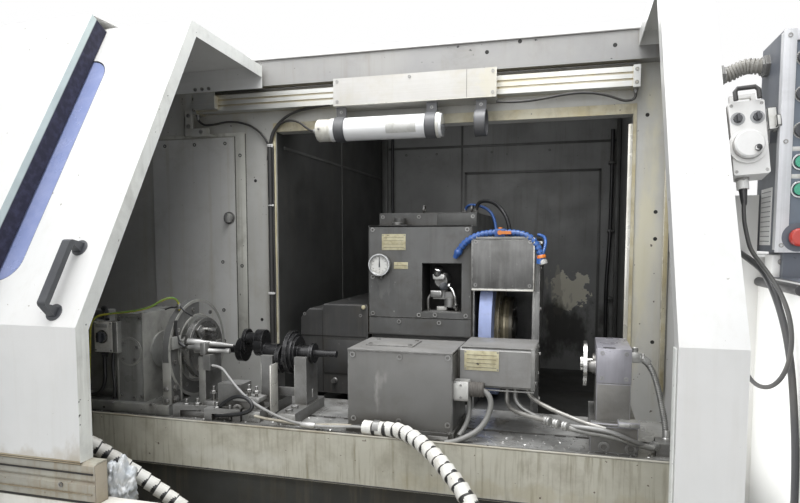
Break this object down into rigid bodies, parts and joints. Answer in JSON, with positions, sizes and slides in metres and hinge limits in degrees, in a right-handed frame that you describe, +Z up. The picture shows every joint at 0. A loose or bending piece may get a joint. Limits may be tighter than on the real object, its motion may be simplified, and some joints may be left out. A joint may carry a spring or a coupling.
{
  "type": "cylindrical grinder",
  "caption": "Enclosed CNC cylindrical grinder for crankshafts: sliding door, travelling table with headstock and tailstock, infeeding wheelhead.",
  "frame": {"origin": "on the floor under the centre of the machine's box", "axes": "+X to the operator's right along the table, +Y from the operator into the machine, +Z up"},
  "size_m": [3.976, 2.72, 2.21],
  "materials": {
    "white_paint": "smooth light paint, slightly yellowed",
    "warm_grey_paint": "light warm grey paint, worn",
    "beam_grey": "grey paint",
    "cast_paint": "paint on a casting",
    "steel_feet": "plain steel",
    "stained_tray": "grey paint with coolant stains",
    "dark_sheet": "grey paint in shadow, oily",
    "bulkhead_paint": "grey paint with yellow oil stains",
    "rail_stained": "worn and rusty",
    "extruded_aluminium": "extruded",
    "stainless_sheet": "brushed sheet",
    "lamp_glass": "grey tube with light end caps",
    "black_rubber": "cable sheath",
    "panel_dark": "dark blue-grey paint",
    "grey_conduit": "corrugated",
    "white_plastic": "moulded case",
    "window_pane": "tinted, reflecting",
    "black_plastic": "moulded",
    "machine_paint": "light machine paint, oily",
    "dark_casting": "oily casting",
    "chrome_case": "gauge case",
    "dull_metal": "machined metal",
    "blue_hose": "jointed hose",
    "orange_plastic": "tap lever",
    "abrasive": "vitrified abrasive",
    "hub_paint": "pale wheel flange",
    "table_iron": "scraped and oily",
    "bright_steel": "ground steel",
    "pale_wrap": "spiral cable wrap",
    "grey_rubber": "thin cable",
    "green_button": "push button",
    "red_button": "stop button"
  },
  "bodies": {
    "frame": {"machine_bed": "cast_paint", "levelling_feet": "steel_feet", "front_sill": "warm_grey_paint", "coolant_trays": "stained_tray", "left_front_panel": "white_paint", "enclosure_sheets": "dark_sheet", "end_housing": "beam_grey", "door_pillar": "white_paint", "header_beam": "beam_grey", "bulkhead": "bulkhead_paint", "hatch_panel": "bulkhead_paint", "control_cabinet": "white_paint", "lower_rail": "rail_stained", "rodless_cylinder": "extruded_aluminium", "cylinder_cover": "stainless_sheet", "lamp_tube": "lamp_glass", "post_cables": "black_rubber", "panel_housing": "panel_dark", "panel_conduit": "grey_conduit", "handwheel_box": "white_plastic", "handwheel_cable": "black_rubber"},
    "door": {"sliding_door": "white_paint", "door_window": "window_pane", "door_handle": "black_plastic", "door_carriage": "extruded_aluminium"},
    "wheelhead": {"wheelhead_housing": "machine_paint", "wheelhead_slide": "dark_casting", "belt_cover": "machine_paint", "wheel_guard": "machine_paint", "gauge_body": "chrome_case", "regulator_valve": "dull_metal", "coolant_nozzle": "blue_hose"},
    "wheel": {"grinding_wheel": "abrasive", "wheel_hub": "hub_paint"},
    "needle": {"gauge_needle": "black_plastic"},
    "tap_lever": {"coolant_tap": "orange_plastic"},
    "table_unit": {"table": "table_iron", "headstock_housing": "machine_paint", "headstock_guard": "machine_paint", "v_rests": "dull_metal", "crankshaft": "bright_steel", "tailstock_housing": "machine_paint", "table_fittings": "dull_metal", "dresser_head": "machine_paint", "trailing_cable": "pale_wrap", "signal_cable": "grey_rubber"},
    "work_spindle": {"face_driver": "bright_steel"},
    "quill": {"tailstock_quill": "bright_steel"},
    "dresser_spindle": {"dresser_disc": "dull_metal"},
    "headstock_switch": {"mode_knob": "black_plastic"},
    "hatch_latch": {"hatch_knob": "black_plastic"},
    "handwheel_dial": {"handwheel": "white_plastic"},
    "axis_switch": {"axis_knob": "black_plastic"},
    "step_switch": {"step_knob": "black_plastic"},
    "speed_switch": {"speed_knob": "black_plastic"},
    "feed_switch": {"feed_knob": "black_plastic"},
    "override_switch": {"override_knob": "black_plastic"},
    "start_key": {"start_button": "green_button"},
    "cycle_key": {"cycle_button": "green_button"},
    "stop_key": {"stop_button": "red_button"}
  },
  "joints": [
    {"name": "door_slide", "type": "slide", "parent": "frame", "child": "door", "axis": [1, 0, 0], "range_m": [0, 1.43]},
    {"name": "table_slide", "type": "slide", "parent": "frame", "child": "table_unit", "axis": [1, 0, 0], "range_m": [-0.4, 0.45], "deforming": ["trailing_cable"]},
    {"name": "wheelhead_infeed", "type": "slide", "parent": "frame", "child": "wheelhead", "axis": [0, -1, 0], "range_m": [-0.04, 0.36]},
    {"name": "wheel_spin", "type": "hinge", "parent": "wheelhead", "child": "wheel", "pos_m": [0.399, 0.15, 1.08], "axis": [1, 0, 0], "continuous": true},
    {"name": "work_spin", "type": "hinge", "parent": "table_unit", "child": "work_spindle", "pos_m": [-0.488, -0.7, 1.08], "axis": [1, 0, 0], "continuous": true},
    {"name": "quill_slide", "type": "slide", "parent": "table_unit", "child": "quill", "axis": [-1, 0, 0], "range_m": [-0.03, 0.035]},
    {"name": "dresser_spin", "type": "hinge", "parent": "table_unit", "child": "dresser_spindle", "pos_m": [0.825, -0.7, 1.092], "axis": [1, 0, 0], "continuous": true},
    {"name": "mode_turn", "type": "hinge", "parent": "table_unit", "child": "headstock_switch", "pos_m": [-0.74564, -0.878, 1.133], "axis": [0, 1, 0], "range_deg": [-45, 45]},
    {"name": "hatch_turn", "type": "hinge", "parent": "frame", "child": "hatch_latch", "pos_m": [-0.686, -0.16, 1.549], "axis": [0, 1, 0], "range_deg": [0, 90]},
    {"name": "needle_turn", "type": "hinge", "parent": "wheelhead", "child": "needle", "pos_m": [-0.018, -0.1, 1.351], "axis": [0, 1, 0], "range_deg": [-135, 135]},
    {"name": "tap_turn", "type": "hinge", "parent": "wheelhead", "child": "tap_lever", "pos_m": [0.478, -0.124, 1.482], "axis": [0, 1, 0], "range_deg": [0, 90]},
    {"name": "handwheel_turn", "type": "hinge", "parent": "frame", "child": "handwheel_dial", "pos_m": [1.12941, -1.01553, 1.66201], "axis": [0, 0.9848, -0.1736], "continuous": true},
    {"name": "axis_turn", "type": "hinge", "parent": "frame", "child": "axis_switch", "pos_m": [1.10991, -1.00445, 1.72483], "axis": [0, 0.9848, -0.1736], "range_deg": [-60, 60]},
    {"name": "step_turn", "type": "hinge", "parent": "frame", "child": "step_switch", "pos_m": [1.14981, -1.00396, 1.72758], "axis": [0, 0.9848, -0.1736], "range_deg": [-60, 60]},
    {"name": "speed_turn", "type": "hinge", "parent": "frame", "child": "speed_switch", "pos_m": [1.235, -1.019, 1.848], "axis": [0, 1, 0], "range_deg": [-135, 135]},
    {"name": "feed_turn", "type": "hinge", "parent": "frame", "child": "feed_switch", "pos_m": [1.235, -1.019, 1.77], "axis": [0, 1, 0], "range_deg": [-135, 135]},
    {"name": "override_turn", "type": "hinge", "parent": "frame", "child": "override_switch", "pos_m": [1.235, -1.019, 1.692], "axis": [0, 1, 0], "range_deg": [-135, 135]},
    {"name": "start_press", "type": "slide", "parent": "frame", "child": "start_key", "axis": [0, 1, 0], "range_m": [0, 0.005], "stiffness_N_per_m": 600},
    {"name": "cycle_press", "type": "slide", "parent": "frame", "child": "cycle_key", "axis": [0, 1, 0], "range_m": [0, 0.005], "stiffness_N_per_m": 600},
    {"name": "stop_press", "type": "slide", "parent": "frame", "child": "stop_key", "axis": [0, 1, 0], "range_m": [0, 0.005], "stiffness_N_per_m": 1500}
  ]
}
